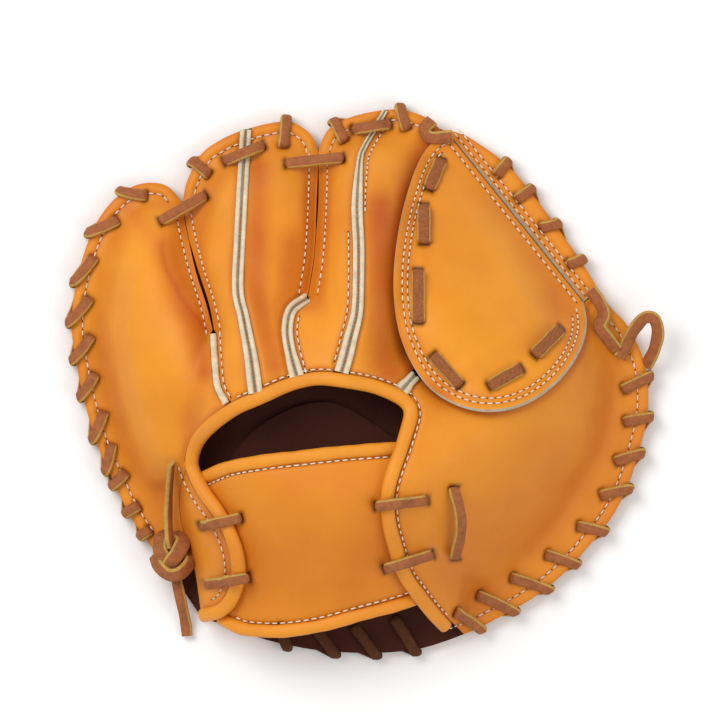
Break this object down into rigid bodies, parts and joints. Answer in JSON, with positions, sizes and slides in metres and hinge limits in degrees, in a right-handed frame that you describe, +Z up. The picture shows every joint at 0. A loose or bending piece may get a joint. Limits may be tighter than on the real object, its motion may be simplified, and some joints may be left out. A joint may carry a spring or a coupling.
{
  "type": "baseball glove",
  "caption": "Small round leather training glove lying palm down with its open back up: finger stalls, thumb, closed leather web, wrist strap, laced round the whole rim.",
  "frame": {"origin": "under the middle of the glove, on the surface that it lies on", "axes": "+Z up through the open back, +Y towards the finger tips, +X towards the thumb and the web"},
  "size_m": [0.2716, 0.2518, 0.078],
  "materials": {
    "tan_leather": "smooth oiled, satin",
    "lace_leather": "matt, raw yellow edges",
    "pale_trim": "matt",
    "dark_lining": "matt"
  },
  "bodies": {
    "root": {"palm": "tan_leather", "palm_lining": "dark_lining", "little_finger_back": "tan_leather", "middle_finger_outer_back": "tan_leather", "middle_finger_inner_back": "tan_leather", "index_finger_outer_back": "tan_leather", "index_finger_inner_back": "tan_leather", "thumb_back": "tan_leather", "web_panel": "tan_leather", "web_rim_band": "tan_leather", "wrist_tab": "tan_leather", "wrist_strap": "tan_leather", "opening_binding": "tan_leather", "strap_top_binding": "tan_leather", "strap_bottom_binding": "tan_leather", "welt_little_finger": "pale_trim", "welt_middle_finger": "pale_trim", "welt_knuckle": "pale_trim", "welt_index_finger": "pale_trim", "welt_thumb_crotch": "pale_trim", "rim_lace_little": "lace_leather", "rim_lace_middle": "lace_leather", "rim_lace_index": "lace_leather", "rim_lace_web": "lace_leather", "rim_lace_thumb": "lace_leather", "rim_lace_heel": "lace_leather", "web_lace_1": "lace_leather", "web_lace_2": "lace_leather", "web_lace_3": "lace_leather", "web_lace_4": "lace_leather", "web_lace_5": "lace_leather", "web_lace_6": "lace_leather", "finger_gap_lace_1": "lace_leather", "finger_gap_lace_2": "lace_leather", "fingertip_lace_1": "lace_leather", "fingertip_lace_2": "lace_leather", "strap_lace_1": "lace_leather", "strap_lace_2": "lace_leather", "strap_lace_3": "lace_leather", "strap_lace_4": "lace_leather", "thumb_lace_1": "lace_leather", "web_corner_lace": "lace_leather", "loop_lace_inner": "lace_leather", "loop_lace_outer": "lace_leather", "knot": "lace_leather", "lace_tail_upper": "lace_leather", "lace_tail_lower": "lace_leather"}
  },
  "joints": []
}
